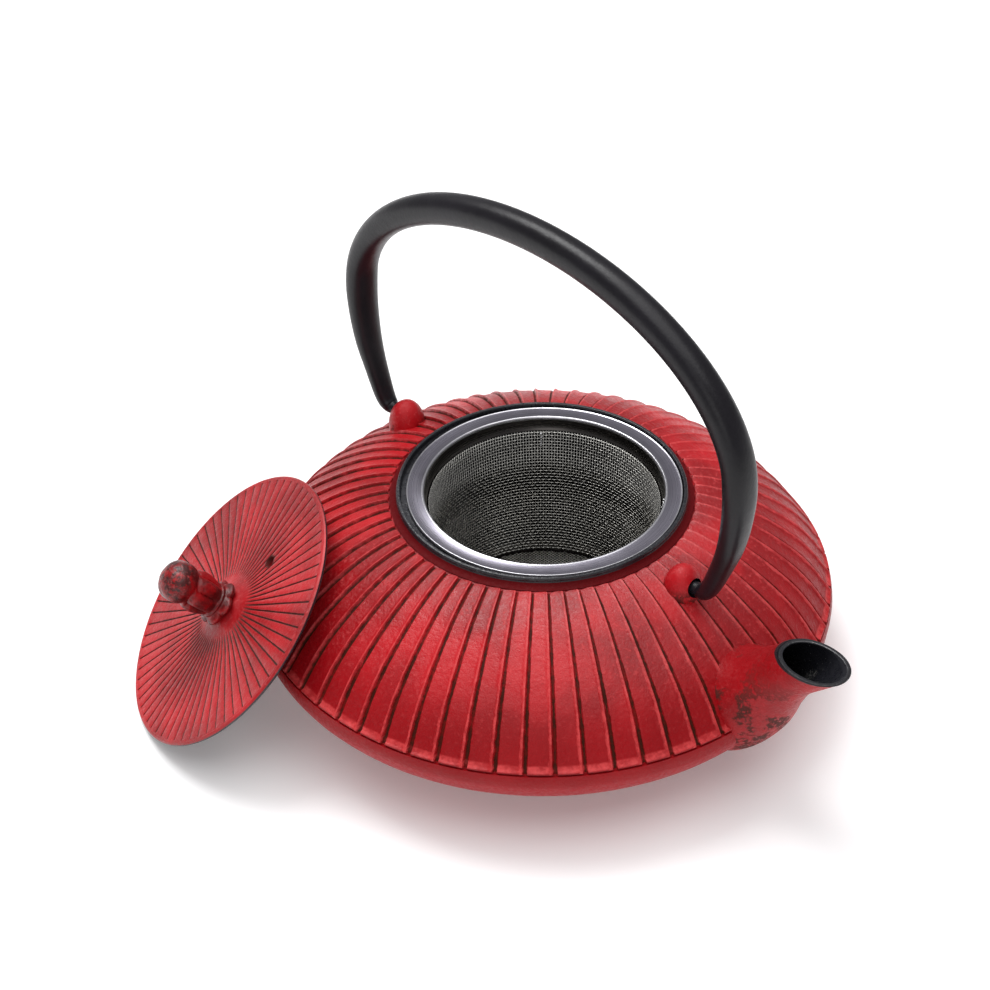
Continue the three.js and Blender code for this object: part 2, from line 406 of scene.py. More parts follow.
def paintedIron(where):
    # red enamel over sand-cast iron: colour, roughness and normal that the red casting, spout and lid start
    # from
    fine = grain(where, 900, 4, 0.6)
    sand = grain(where, 2600, 2, 0.7)
    colour = blend(band(grain(where, 38, 3), 0.36, 0.66), paint["deep"], paint["fresh"])
    colour = blend(times(band(fine, 0.55, 0.70), 0.42), colour, paint["worn"])
    pits = times(band(sand, 0.65, 0.73), band(grain(where, 240, 2), 0.46, 0.62))
    colour = blend(times(pits, 0.65), colour, paint["patina"])
    normal = bump(fine, 0.38, 0.0005, bump(sand, 0.30, 0.00025))
    normal = bump(grain(where, 210, 2), 0.22, 0.0012, normal)
    return colour, band(fine, 0.35, 0.7, *paint["roughness"]), normal


def makeRedCasting():
    where = beginMaterial()
    colour, rough, normal = paintedIron(where)
    x, y, z, radius = splitPlace(where)
    width, right, left = ribCoordinates(calc("ARCTAN2", y, x), radius, ribs["firstGroove"])
    # painted shade: the red is drawn deeper towards the bottom of the body
    lowShade = band(z, 0.032, 0.050, 0.80, 0.0)
    colour = blend(lowShade, colour, paint["deep"])
    # distances from the grooves, told as on a rib 6.8 mm wide
    scaled = calc("DIVIDE", 0.0068, width)
    wander = wobble(where, 380, 4, 0.65, 0.0011)
    right, left = timesPlus(right, scaled, wander), timesPlus(left, scaled, wander)
    inRibs = times(band(z, 0.0283, 0.0286), band(radius, 0.0442, 0.0448))
    edges = larger(fall(right, 0.00018, 0.00052), fall(left, 0.00026, 0.00068))
    groove = times(edges, inRibs)
    # the bead crests and the lower lip are drawn lighter red: partly wear, partly painted highlight
    crest = times(window(left, 0.00070, 0.00090, 0.0013, 0.0017), inRibs)
    lipCrest = window(z, 0.0288, 0.0294, 0.0300, 0.0306)
    worn = times(larger(crest, lipCrest), band(grain(where, 320, 3, 0.7), 0.36, 0.62, 0.25, 0.75))
    colour = blend(worn, colour, paint["worn"])
    # smooth band under the ribs, painted lighter as bounce light from the floor
    colour = blend(band(z, 0.0232, 0.0252, 0.55, 0.0), colour, paint["sand"])
    # painted shade on the band between the ribs and the rim
    upper = times(fall(plus(radius, wander), 0.0440, 0.0447), band(z, 0.056, 0.0565))
    colour = blend(times(upper, 0.94), colour, paint["shade"])
    # the patina in the grooves is broken up
    broken = band(grain(where, 170, 4, 0.7), 0.34, 0.56, 0.62, 0.95)
    colour = blend(times(groove, broken), colour, paint["patina"])
    duller = larger(groove, upper)
    gloss = timesPlus(duller, -0.32, timesPlus(lowShade, -0.30, 0.44))
    rough = timesPlus(duller, 0.25, rough)
    return finish("redCasting", colour, rough, normal, larger(gloss, 0.04))


def makeRedSpout():
    # the spout and the lugs: no ribs, painted shade drawing the spout's red deeper, dark rub low on the
    # spout's root, black run over the lip
    where = beginMaterial()
    colour, rough, normal = paintedIron(where)
    x, y, z, radius = splitPlace(where)
    onSpout = band(x, 0.070, 0.074)
    # painted shade: the spout's red is drawn deeper than the body's
    colour = blend(times(onSpout, 0.45), colour, paint["deep"])
    lowDown = times(band(z, 0.036, 0.053, 1.0, 0.12), onSpout)
    lowOnLug = times(band(z, 0.0545, 0.0575, 0.9, 0.0), minus(1.0, onSpout))
    patches = times(band(grain(where, 95, 4, 0.75), 0.50, 0.58), band(grain(where, 900, 2), 0.36, 0.46))
    rubbed = times(patches, larger(lowDown, lowOnLug))
    colour = blend(times(rubbed, 0.85), colour, paint["patina"])
    lip = times(band(plus(z, wobble(where, 420, 3, 0.55, 0.0006)), 0.0548, 0.0550), onSpout)
    colour = blend(lip, colour, (0.012, 0.011, 0.014))
    rough = timesPlus(rubbed, 0.25, rough)
    return finish("redSpout", colour, rough, normal, 0.30)


def makeBlack(name, look):
    where = beginMaterial()
    fine = grain(where, look["fine"], 3)
    colour = blend(band(grain(where, look["cloud"], 3), *look["cloudRange"]), look["dark"], look["light"])
    normal = bump(fine, *look["fineBump"])
    normal = bump(grain(where, look["wave"], 2), *look["waveBump"], normal)
    return finish(name, colour, band(fine, 0.3, 0.7, *look["rough"]), normal, look["specular"])


def makeRedLid():
    where = beginMaterial("ownPlace")
    colour, rough, normal = paintedIron(where)
    x, y, z, radius = splitPlace(where)
    width, right, left = ribCoordinates(calc("ARCTAN2", y, x), radius, 0.0)
    wander = wobble(where, 500, 3, 0.55, 0.00035)
    line = fall(plus(calc("MINIMUM", right, left), wander), 0.00018, 0.00032)
    line = times(line, window(radius, 0.0095, 0.0125, 0.0413, 0.0417), band(z, -0.0006, -0.0003))
    vent = node("ShaderNodeVectorMath", {0: where, 1: spots["vent"]}, "Value", operation="DISTANCE")
    line = larger(line, band(plus(vent, wander), 0.0019, 0.0025, 0.8, 0.0))
    colour = blend(times(line, 0.92), colour, paint["patina"])
    return finish("redLid", colour, plus(rough, times(line, 0.2)), normal)


def makeRedKnob():
    where = beginMaterial("ownPlace")
    x, y, z, radius = splitPlace(where)
    broad = grain(where, 160, 4, 0.65)
    fine = grain(where, 1100, 3)
    colour = blend(band(broad, 0.38, 0.62), (0.085, 0.0006, 0.0014), (0.30, 0.0020, 0.0045))
    head = band(z, 0.0155, 0.0185)
    base = band(z, 0.0070, 0.0082, 0.4, 0.0)
    worn = times(larger(head, base), band(grain(where, 420, 4, 0.7), 0.44, 0.56))
    colour = blend(times(worn, 0.85), colour, (0.020, 0.009, 0.008))
    colour = blend(times(head, band(fine, 0.55, 0.68), 0.5), colour, (0.30, 0.06, 0.06))
    normal = bump(broad, 0.6, 0.0016, bump(fine, 0.3, 0.0004))
    return finish("redKnob", colour, band(fine, 0.3, 0.7, 0.3, 0.5), normal, 0.34,
                  {"Coat Weight": 0.10, "Coat Roughness": 0.2})


def makeSteel(name, colour, rough):
    where = beginMaterial()
    brush = grain(where, 900, 2, 0.6)
    shade = blend(band(grain(where, 120, 3), 0.3, 0.7), tuple(c * 0.86 for c in colour), colour)
    return finish(name, shade, band(brush, 0.3, 0.7, rough - 0.03, rough + 0.04), bump(brush, 0.05, 0.0001),
                  others={"Metallic": 1.0})


def makeRingSteel():
    # rolled lips drawn light and the flat between them darker as painted reflection, and the collar
    # underneath dark as painted shade
    where = beginMaterial()
    own = node("ShaderNodeVectorMath", {0: where, 1: spots["ringOffset"]}, operation="SUBTRACT")
    x, y, z, radius = splitPlace(own)
    brush = grain(joinPlace(times(radius, 3.0), 0.0, z), 2200, 2, 0.6)
    cloud = band(grain(where, 90, 3), 0.3, 0.7)
    flat = window(radius, 0.03555, 0.03575, 0.0394, 0.0396)
    # painted reflection: one steel, drawn light on the lips and darker on the flat between them
    shade = blend(cloud, (0.56, 0.55, 0.58), (0.70, 0.69, 0.73))
    shade = blend(flat, shade, blend(cloud, (0.26, 0.245, 0.29), (0.31, 0.295, 0.345)))
    # painted shade: the collar inside the pot's mouth is drawn dark
    shade = blend(fall(z, 0.0588, 0.0593), shade, (0.085, 0.078, 0.074))
    return finish("ringSteel", shade, band(brush, 0.3, 0.7, 0.26, 0.33), bump(brush, 0.05, 0.0001),
                  others={"Metallic": 1.0})


def makeFloor():
    pale = studio["floorColour"]
    colour = blend(grain(beginMaterial(), 3, 2), pale, tuple(c * 0.985 for c in pale))
    return finish("paleFloor", colour, 0.9, specular=0.0, others={
        "Emission Color": (1, 1, 1, 1), "Emission Strength": studio["floorGlow"]})


redCasting = makeRedCasting()
redSpout = makeRedSpout()
blackEnamel = makeBlack("blackEnamel", dict(
    fine=1100, cloud=60, cloudRange=(0.35, 0.7), dark=(0.008, 0.008, 0.011), light=(0.018, 0.018, 0.023),
    fineBump=(0.3, 0.0004), wave=260, waveBump=(0.25, 0.0010), rough=(0.24, 0.42), specular=0.5))
handleBlack = makeBlack("handleBlack", dict(
    fine=1500, cloud=45, cloudRange=(0.3, 0.75), dark=(0.005, 0.0042, 0.006), light=(0.01, 0.0086, 0.012),
    fineBump=(0.15, 0.0003), wave=120, waveBump=(0.12, 0.0012), rough=(0.30, 0.40), specular=0.30))
redLid = makeRedLid()
redKnob = makeRedKnob()
ringSteel = makeRingSteel()
wireSteel = makeSteel("wireSteel", (0.50, 0.49, 0.46), 0.24)
# painted light: the basket floor's steel is drawn far lighter than the wall's, to lift the shade on it
floorSteelPaintedLight = makeSteel("floorSteelPaintedLight", (0.92, 0.90, 0.86), 0.30)
nutSteel = makeSteel("nutSteel", (0.55, 0.55, 0.56), 0.30)
print("finishes made")

# ---- studio
world = bpy.data.worlds.new("studioWorld")
world.use_nodes = True
world.node_tree.nodes["Background"].inputs["Color"].default_value = (*studio["world"], 1)
world.node_tree.nodes["Background"].inputs["Strength"].default_value = studio["worldStrength"]
scene.world = world
scene.view_settings.view_transform = "Standard"
for lightName in ("keyLight", "topLight", "fillLight"):
    placeLight(lightName, *studio[lightName])
half = studio["floorSize"] / 2 / mm
floor = meshPiece("paleFloor", [(-half, -half, 0), (half, -half, 0), (half, half, 0), (-half, half, 0)],
                  [(0, 1, 2, 3)], [makeFloor()])

# ---- pot casting
pot = dict(
    rimTop=60.6, mouthRadius=37.2, seatRadius=41.0, seatHeight=58.7,
    bellyRadius=86.5, bellyHeight=25.9, bellyBase=2.6, footRadius=50.0,
    floorHeight=4.6, wall=3.1,
    shoulder=[(44, 58.6), (50, 57.1), (57, 54.3), (64, 50.3), (71, 45.4), (77, 40.2), (82.5, 33.4)],
    rimProfile=[(44.1, 57.75), (43.2, 58.15), (42.62, 58.6), (42.36, 59.0), (42.3, 59.14), (42.22, 59.24),
                (42.2, 59.5), (42.2, 60.0), (42.12, 60.32), (41.95, 60.52), (41.7, 60.6), (41.3, 60.6)],
    footProfile=[(24, 0), (47.5, 0), (49.3, 0.05), (49.85, 0.35), (50.0, 0.9)],
    blackWithin=42.35, blackAbove=59.12,  # the rim's black enamel
    unevenness=0.13, unevennessScale=130.0, seed=4,
)
relief = dict(
    grooveDepth=0.66, grooveByWidth=0.026,  # depth grows with the rib's width
    panel=-0.55, dish=0.012,  # level of a panel, and its sag as a share of the width
    bandLevel=-0.35, stepLevel=-0.95, channelLevel=-1.0,
    lipStart=2.95, lipCrest=3.45, lipBack=4.3,  # along the shoulder from the belly line
    ribsEnd=0.35, endScallop=0.8,  # short of the shoulder's top, and how far the corners fall back
    rowSpacing=1.6,
    mergeWithin=0.005,  # joins the strips' edges
)


def potOutline():
    # points below the belly line, then the belly line up to the ribs' end
    belly, level, foot, back = pot["bellyRadius"], pot["bellyHeight"], pot["footRadius"], 8.5
    drop = (level - pot["bellyBase"]) / sqrt(1 - (foot / belly) ** 2)
    below = (belly * sqrt(1 - (back / drop) ** 2), level - back)
    line = smoothLine([below, (belly, level)] + pot["shoulder"][::-1], 24)[24:]
    cut = acos(foot / belly)
    turns = [-cut + cut * i / 14 for i in range(14)]
    return [(belly * cos(a), level + drop * sin(a)) for a in turns], line


def walkLine(line):
    # running length, place and outward normal of every point
    run, out = 0.0, []
    for i, (r, z) in enumerate(line):
        if i:
            run += hypot(r - line[i - 1][0], z - line[i - 1][1])
        a, b = line[max(i - 1, 0)], line[min(i + 1, len(line) - 1)]
        dr, dz = b[0] - a[0], b[1] - a[1]
        size = hypot(dr, dz)
        out.append((run, r, z, dz / size, -dr / size))
    return out


def pointAt(walk, run):
    for one, two in zip(walk, walk[1:]):
        if run <= two[0]:
            t = (run - one[0]) / (two[0] - one[0])
            return [one[c] + t * (two[c] - one[c]) for c in range(1, 5)]
    return list(walk[-1][1:])


def ribSection(width, lip=0.0):
    # [distance from the groove, level] across one rib: a panel, then a narrow bead; on the narrow
    # upper part the panel is a slope that climbs to the bead
    s = min(1.15, max(0.55, width / 6.8))
    deep = -(relief["grooveDepth"] + relief["grooveByWidth"] * width)
    slope = min(1.0, max(0.0, (7.4 - width) / 2.4))
    low = relief["panel"] - 0.16 * slope
    high = relief["panel"] * (1 - 0.55 * slope)
    start, stop = 0.72 * s, width - 1.65 * s
    out = [(0, deep - 0.10 * slope), (0.24 * s, deep - 0.10 * slope), (0.42 * s, low - 0.04), (start, low)]
    for t in (0.2, 0.4, 0.6, 0.8):
        sag = relief["dish"] * width * 4 * t * (1 - t)
        out.append((start + (stop - start) * t, low + (high - low) * t - sag))
    out += [(stop, high), (width - 1.22 * s, -0.06), (width - 0.80 * s, -0.02), (width - 0.30 * s, deep)]
    if lip > 0:
        out = [(d, v if v <= deep else v * (1 - lip)) for d, v in out]
    return out


def fineRow(place, levels, width):
    r, z, nr, nz = place
    row = []
    for d, level in levels:
        row.append((d / width, r + nr * level, z + nz * level))
    row.append((1.0, row[0][1], row[0][2]))
    return row


def coarseRows(profile):
    return [[(k / 3, r, z) for k in range(4)] for r, z in profile]


def stripMesh(name, rows, count):
    # one rib's worth of the turned surface; rows hold 13, 4 or 1 points
    points, index, faces = [], [], []
    pitch = 2 * pi / count
    for row in rows:
        index.append(list(range(len(points), len(points) + len(row))))
        for u, r, z in row:
            points.append((r * cos(u * pitch), r * sin(u * pitch), z))
    for low, high in zip(index, index[1:]):
        steps, thirds = range(max(len(low), len(high)) - 1), range(3)
        if len(low) == len(high):
            faces += [(low[j], low[j + 1], high[j + 1], high[j]) for j in steps]
        elif len(low) == 13 and len(high) == 4:
            faces += [(*low[4 * k:4 * k + 5], high[k + 1], high[k]) for k in thirds]
        elif len(low) == 4 and len(high) == 13:
            faces += [(low[k], low[k + 1], *reversed(high[4 * k:4 * k + 5])) for k in thirds]
        elif len(low) == 1:
            faces += [(low[0], high[j + 1], high[j]) for j in steps]
        else:
            faces += [(low[j], low[j + 1], high[0]) for j in steps]
    return meshPiece(name, points, faces)


def potRows():
    pitch = 2 * pi / ribs["count"]
    lower, line = potOutline()
    walk = walkLine(line)
    full = walk[-1][0]
    rows = [[(0, 0, 0.0)]] + coarseRows(pot["footProfile"])
    smooth = []
    for i, (r, z) in enumerate(lower):
        inset = min(1.0, i / 3) * relief["bandLevel"]
        smooth.append((r + inset * r / pot["bellyRadius"], z))
    for run in (0.0, 1.3, 2.2):
        r, z, nr, nz = pointAt(walk, run)
        smooth.append((r + nr * relief["bandLevel"], z + nz * relief["bandLevel"]))
    rows += coarseRows(smooth)

    def flat(run, level):
        place = pointAt(walk, run)
        width = place[0] * pitch
        return fineRow(place, [(d, level) for d, _ in ribSection(width)], width)

    def ribbed(run, lip=0.0, sink=0.0):
        place = pointAt(walk, run)
        width = place[0] * pitch
        levels = [(d, v - (sink if v > -0.5 else 0)) for d, v in ribSection(width, lip)]
        return fineRow(place, levels, width)

    def scalloped(run, sink):
        # the rib's rounded upper end: its middle reaches further up than its corners
        width = pointAt(walk, run)[0] * pitch
        row = []
        for d, v in ribSection(width):
            reach = relief["endScallop"] * (1 - abs(2 * d / width - 1) ** 2.5)
            r, z, nr, nz = pointAt(walk, run + reach)
            level = v + (relief["channelLevel"] - v) * sink
            row.append((d / width, r + nr * level, z + nz * level))
        return row + [(1.0, row[0][1], row[0][2])]

    start, crest, back = relief["lipStart"], relief["lipCrest"], relief["lipBack"]
    rows += [flat(2.4, relief["bandLevel"]), flat(2.55, relief["stepLevel"]),
             flat(start - 0.1, relief["stepLevel"]), ribbed(start, 1.0, 0.25),
             ribbed(start + 0.25, 1.0, 0.05), ribbed(crest, 1.0), ribbed((crest + back) / 2, 0.5)]
    top = full - relief["ribsEnd"] - 0.9 - relief["endScallop"]
    spans = round((top - back) / relief["rowSpacing"])
    rows += [ribbed(back + (top - back) * i / spans) for i in range(spans + 1)]
    rows += [scalloped(top + 0.45, 0.05), scalloped(top + 0.75, 0.22), scalloped(top + 0.90, 1.0),
             flat(full - 0.2, relief["channelLevel"])]
    return rows + coarseRows(pot["rimProfile"] + [(20, pot["rimTop"])]) + [[(0, 0, pot["rimTop"])]]


def ringOfRibsTree():
    tree, given = geometryTree(
        "ringOfRibs", Geometry=["Mesh"], Int=["Rib Count"], Material=["Enamel", "Rim Enamel"],
        Float=["First Groove", "Unevenness", "Unevenness Scale", "Seed", "Rim Radius", "Rim Height"])
    line = node("GeometryNodeMeshLine", {"Count": given["Rib Count"], "Offset": (0, 0, 0)})
    turn = calc("DIVIDE", 2 * pi, given["Rib Count"])
    angle = plus(times(node("GeometryNodeInputIndex"), turn), given["First Groove"])
    copies = node("GeometryNodeInstanceOnPoints", {
        "Points": line, "Instance": given["Mesh"], "Rotation": joinPlace(0.0, 0.0, angle)})
    real = node("GeometryNodeRealizeInstances", {0: copies})
    joined = node("GeometryNodeMergeByDistance", {"Geometry": real, "Distance": relief["mergeWithin"] * mm})
    place = node("GeometryNodeInputPosition")
    x, y, z, radius = splitPlace(place)
    noise = node("ShaderNodeTexNoise", {
        "Vector": place, "W": given["Seed"], "Scale": given["Unevenness Scale"], "Detail": 2.0},
        noise_dimensions="4D")
    depth = times(noise, given["Unevenness"], -1.0, calc("GREATER_THAN", z, 0.001))
    offset = node("ShaderNodeVectorMath", {0: node("GeometryNodeInputNormal"), "Scale": depth},
                  operation="SCALE")
    moved = node("GeometryNodeSetPosition", {"Geometry": joined, "Offset": offset})
    painted = node("GeometryNodeSetMaterial", {"Geometry": moved, "Material": given["Enamel"]})
    rim = times(calc("LESS_THAN", radius, given["Rim Radius"]), calc("GREATER_THAN", z, given["Rim Height"]))
    return endTree(tree, node("GeometryNodeSetMaterial", {
        "Geometry": painted, "Selection": rim, "Material": given["Rim Enamel"]}))


def potHollow(slots):
    # the water space, the seat for the strainer and the way out through the mouth
    wall, level, base, top = pot["wall"], pot["bellyHeight"], pot["floorHeight"], pot["rimTop"]
    inner = pot["bellyRadius"] - wall
    profile = [(0, base), (12, base)]
    for i in range(13):
        a = -pi / 2 + 0.27 + (pi / 2 - 0.27) * i / 13
        profile.append((inner * cos(a), level + (level - base) * sin(a)))
    under = [(r - wall * 0.55, z - wall * 0.85) for r, z in pot["shoulder"][::-1]]
    profile += smoothLine([(inner, level)] + under, 4)
    mouth, seat, ledge = pot["mouthRadius"], pot["seatRadius"], pot["seatHeight"]
    profile += [(mouth + 0.6, ledge - 3.9), (mouth, ledge - 3.2), (mouth, ledge - 0.3), (mouth + 0.3, ledge),
                (seat - 0.25, ledge), (seat, ledge + 0.25), (seat, top - 0.45), (seat + 0.12, top - 0.12),
                (seat + 0.5, top + 0.1), (seat + 0.5, top + 3), (0, top + 3)]
    return paintSlot(turned("potHollow", profile, 198, slots), 1)


spout = dict(
    # [x, z, tilt in degrees from upright, half size in the XZ plane, half size along Y]
    rings=[(66, 24.5, 10, 16.5, 16.0), (76.5, 28.0, 22, 15.4, 15.0), (84.5, 35.0, 38, 12.0, 12.2),
           (89.6, 43.0, 50, 9.0, 9.2), (94.2, 49.4, 66, 8.0, 8.0), (100.4, 55.7, 90, 10.4, 7.9)],
    wall=(2.4, 1.3),  # at the root and at the lip
    lipRound=0.35, spans=9, sides=72, boreBack=12, borePast=4,
)


def spoutSolid(name, slots, isBore, slot):
    stations = list(spout["rings"])
    if isBore:
        last = len(stations) - 1
        root, lipWall = spout["wall"]
        walls = [root + (lipWall - root) * k / last for k in range(last + 1)]
        stations = [(x, z, tilt, a - w, b - w) for (x, z, tilt, a, b), w in zip(stations, walls)]
        stations[0] = (stations[0][0] - spout["boreBack"], *stations[0][1:])
    rings = []
    for x, z, tilt, inPlane, across in smoothLine(stations, spout["spans"]):
        a = radians(tilt)
        rings.append(ovalRing((x, z), (cos(a), sin(a)), inPlane, across, spout["sides"], 2.08))
    rings.pop()
    x, z, _, inPlane, across = stations[-1]
    soft = spout["lipRound"]
    for drop, grow in ((soft, 0.0), (soft * 0.3, 0.3), (0.0, 1.0)):
        grow *= soft if isBore else -soft
        rings.append(ovalRing((x, z - drop), (0, 1), inPlane + grow, across + grow, spout["sides"], 2.08))
    if isBore:
        past = spout["borePast"]
        rings.append(ovalRing((x, z + past), (0, 1), inPlane + soft, across + soft, spout["sides"], 2.08))
    return paintSlot(loft(name, rings, slots), slot)


lugs = dict(centre=56.2, shift=-1.8, hingeHeight=56.6, sink=2.9, half=(5.4, 5.7, 8.0), holeRadius=2.25,
            holeFrom=54.6, sides=40, spans=26)


def lugSolid(side, slots):
    # a rounded nub with its middle a little below the hole
    hx, hy, hz = lugs["half"]
    middle, height = side * lugs["centre"] + lugs["shift"], lugs["hingeHeight"] - lugs["sink"]
    rings = []
    for k in range(1, lugs["spans"]):
        a = -pi / 2 + pi * k / lugs["spans"]
        rings.append([(middle + hx * cos(a) * c, hy * cos(a) * s, height + hz * sin(a))
                      for c, s in around(lugs["sides"])])
    return paintSlot(loft("lug", rings, slots), 2)


def lugHole(side, slots):
    rings = []
    bore = lugs["holeRadius"]
    for x, r in ((0, bore - 0.5), (0.5, bore), (4.4, bore), (5.6, bore + 0.5), (10, bore + 0.5)):
        rings.append([(side * (lugs["holeFrom"] + x) + lugs["shift"], r * c, lugs["hingeHeight"] + r * s)
                      for c, s in around(lugs["sides"])])
    return paintSlot(loft("lugHole", rings, slots), 1)


def makePot():
    slots = [redCasting, blackEnamel, redSpout]
    shell = stripMesh("potShell", potRows(), ribs["count"])
    runTree(shell, ringOfRibsTree(), {
        "Rib Count": ribs["count"], "First Groove": radians(ribs["firstGroove"]),
        "Unevenness": pot["unevenness"] * mm, "Unevenness Scale": pot["unevennessScale"],
        "Seed": float(pot["seed"]), "Enamel": redCasting, "Rim Enamel": blackEnamel,
        "Rim Radius": pot["blackWithin"] * mm, "Rim Height": pot["blackAbove"] * mm})
    black = shell.data.materials.find(blackEnamel.name)
    flags = [face.material_index == black for face in shell.data.polygons]
    giveSlots(shell, slots)
    for face, flag in zip(shell.data.polygons, flags):
        face.material_index = 1 if flag else 0
    print("shell strip repeated:", len(flags), "faces,", sum(flags), "in black")
    faceOut(shell)
    carve(shell, [
        ("UNION", spoutSolid("spoutOuter", slots, False, 2)),
        ("UNION", lugSolid(-1, slots)), ("UNION", lugSolid(1, slots)),
        ("DIFFERENCE", potHollow(slots)),
        ("DIFFERENCE", spoutSolid("spoutBore", slots, True, 1)),
        ("DIFFERENCE", lugHole(-1, slots)), ("DIFFERENCE", lugHole(1, slots))])
    soften(shell, 38)
    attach(shell, "pot")
    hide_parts("pot_bowl", "pot_shoulder", "spout")
    return shell


potShell = makePot()
print("pot made:", len(potShell.data.polygons), "faces")

# ---- handle
handle = dict(
    archHalfWidth=73.6, archBase=96.4, archRise=46.2, armSection=(3.9, 5.1), crownSection=(4.6, 4.3),
    shift=-1.8, hingeHeight=56.6, pinRadius=1.9, pinEnd=55.2, sides=40, power=2.25,
)


def makeHandle():
    base = handle["hingeHeight"]
    pin = handle["pinRadius"]
    side = [(handle["pinEnd"], base, pin, pin), (61, base, pin, pin), (63.6, base + 0.5, 2.3, 2.7),
            (66, base + 3.4, 2.6, 3.2), (69.6, 69.5, 2.9, 3.7), (72, 77.5, 3.3, 4.3), (73.4, 87, 3.6, 4.8)]
    stations = list(side)
    for i in range(17):
        t = pi * i / 16
        inPlane, across = (a + (b - a) * sin(t)
                           for a, b in zip(handle["armSection"], handle["crownSection"]))
        stations.append((handle["archHalfWidth"] * cos(t), handle["archBase"] + handle["archRise"] * sin(t),
                         inPlane, across))
    stations += [(-x, z, a, b) for x, z, a, b in reversed(side)]
    line = smoothLine(stations, 6)
    rings = []
    for i, (x, z, inPlane, across) in enumerate(line):
        a, b = line[max(i - 1, 0)], line[min(i + 1, len(line) - 1)]
        dx, dz = b[0] - a[0], b[1] - a[1]
        size = hypot(dx, dz)
        nearPin = min(1.0, abs(abs(x) - 60) / 8 if abs(x) < 68 and z < 66 else 1.0)
        power = 2 + (handle["power"] - 2) * nearPin
        rings.append(ovalRing((x, z), (dx / size, dz / size), inPlane, across, handle["sides"], power))
    for end in (0, -1):  # rounded pin ends
        inward = -1 if rings[end][0][0] > 0 else 1
        tip = [(x, y * 0.86, base + (z - base) * 0.86) for x, y, z in rings[end]]
        back = [(x - inward * 0.4, y, z) for x, y, z in rings[end]]
        if end == 0:
            rings[0:1] = [tip, back]
        else:
            rings[-1:] = [back, tip]
    rings = [[(x + handle["shift"], y, z) for x, y, z in ring] for ring in rings]
    obj = loft("bailHandle", rings, [handleBlack])
    soften(obj, 50)
    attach(obj, "handle")
    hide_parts("handle")
    return obj


bailHandle = makeHandle()
print("handle made:", len(bailHandle.data.polygons), "faces")

# ---- lid with its knob, made flat and then set leaning
lid = dict(
    radius=42.85, thickness=2.6, edge=0.9, flangeRadius=33.4, flangeWall=2.2, flangeDepth=3.8,
    lean=45.6, direction=239.0, place=(-51.0, -78.6), clearance=0.1,
    ventRadius=1.7, ventPlace=(-20.0, 0.0), grooveWidth=0.20, grooveDepth=0.34,
    grooveFrom=10.5, grooveTo=41.4, spans=15, stemRadius=2.4, gap=0.3,
)


def lidMatrix():
    lean = radians(lid["lean"])
    height = lid["radius"] * sin(lean) + lid["edge"] * cos(lean) + lid["clearance"]
    turn = Matrix.Rotation(radians(lid["direction"]), 4, "Z") @ Matrix.Rotation(lean, 4, "Y")
    return Matrix.Translation((lid["place"][0] * mm, lid["place"][1] * mm, height * mm)) @ turn


def setLeaning(obj):
    # keeps each point's place on the flat lid for the finishes, then leans the piece
    own = obj.data.attributes.new("ownPlace", "FLOAT_VECTOR", "POINT")
    for i, vertex in enumerate(obj.data.vertices):
        own.data[i].vector = vertex.co
    obj.data.transform(lidMatrix())
    obj.data.update()


def lidRows():
    pitch = 2 * pi / ribs["count"]

    def height(r):
        if r < 16:
            return 0.9 + (0.5 - 0.9) * (r - 9) / 7
        return 0.5 + (0.3 - 0.5) * (r - 16) / 25.65

    def grooved(r, strength):
        width = r * pitch
        half = min(lid["grooveWidth"] + 0.003 * r, width * 0.20)
        deep = lid["grooveDepth"] * strength * min(1.0, width / 1.6)
        crown = min(0.10, 0.05 * width)
        marks = [(0, -deep), (half * 0.45, -deep), (half, -0.03 * strength)]
        start, stop = half * 1.35, width - half * 1.35
        marks.append((start, 0.0))
        for t in (0.25, 0.5, 0.75):
            marks.append((start + (stop - start) * t, crown * 4 * t * (1 - t) * strength))
        marks += [(stop, 0.0), (width - half, -0.03 * strength), (width - half * 0.75, -deep * 0.5),
                  (width - half * 0.45, -deep), (width - half * 0.2, -deep)]
        row = [(d / width, r, height(r) - crown * strength + v) for d, v in marks]
        row.append((1.0, row[0][1], row[0][2]))
        return row

    under = -lid["thickness"]
    flange, wallIn = lid["flangeRadius"], lid["flangeRadius"] - lid["flangeWall"]
    deep = under - lid["flangeDepth"]
    rim, start, stop, spans = lid["radius"], lid["grooveFrom"], lid["grooveTo"], lid["spans"]
    rows = [[(0, 0, under)]] + coarseRows((
        (16, under), (wallIn - 0.3, under), (wallIn, under - 0.3), (wallIn, deep + 0.3), (wallIn + 0.3, deep),
        (flange - 0.3, deep), (flange, deep + 0.3), (flange, under), (flange + 0.4, under + 0.35),
        (rim - 2.4, under + 0.6), (rim - 1.2, under + 0.95), (rim - 0.25, -lid["edge"] - 0.1),
        (rim, -lid["edge"] + 0.25), (rim, -0.2), (rim - 0.2, 0.05), (rim - 0.55, 0.28), (rim - 0.85, 0.28),
        (stop + 0.35, 0.22)))
    rows += [grooved(stop + 0.15, 0.0), grooved(stop, 1.0)]
    rows += [grooved(stop + (start + 2.5 - stop) * i / spans, 1.0) for i in range(1, spans + 1)]
    rows += [grooved(start + 1.0, 0.7), grooved(start, 0.25), grooved(start - 0.8, 0.0)]
    return rows + coarseRows(((8.6, 1.05), (7.2, 1.5), (6.0, 2.0), (4.8, 2.35))) + [[(0, 0, 2.4)]]


def rod(name, radius, low, high, slots, place=(0, 0)):
    rings = [[(place[0] + radius * c, place[1] + radius * s, z) for c, s in around(32)]
             for z in (low, (low + high) / 2, high)]
    return loft(name, rings, slots)


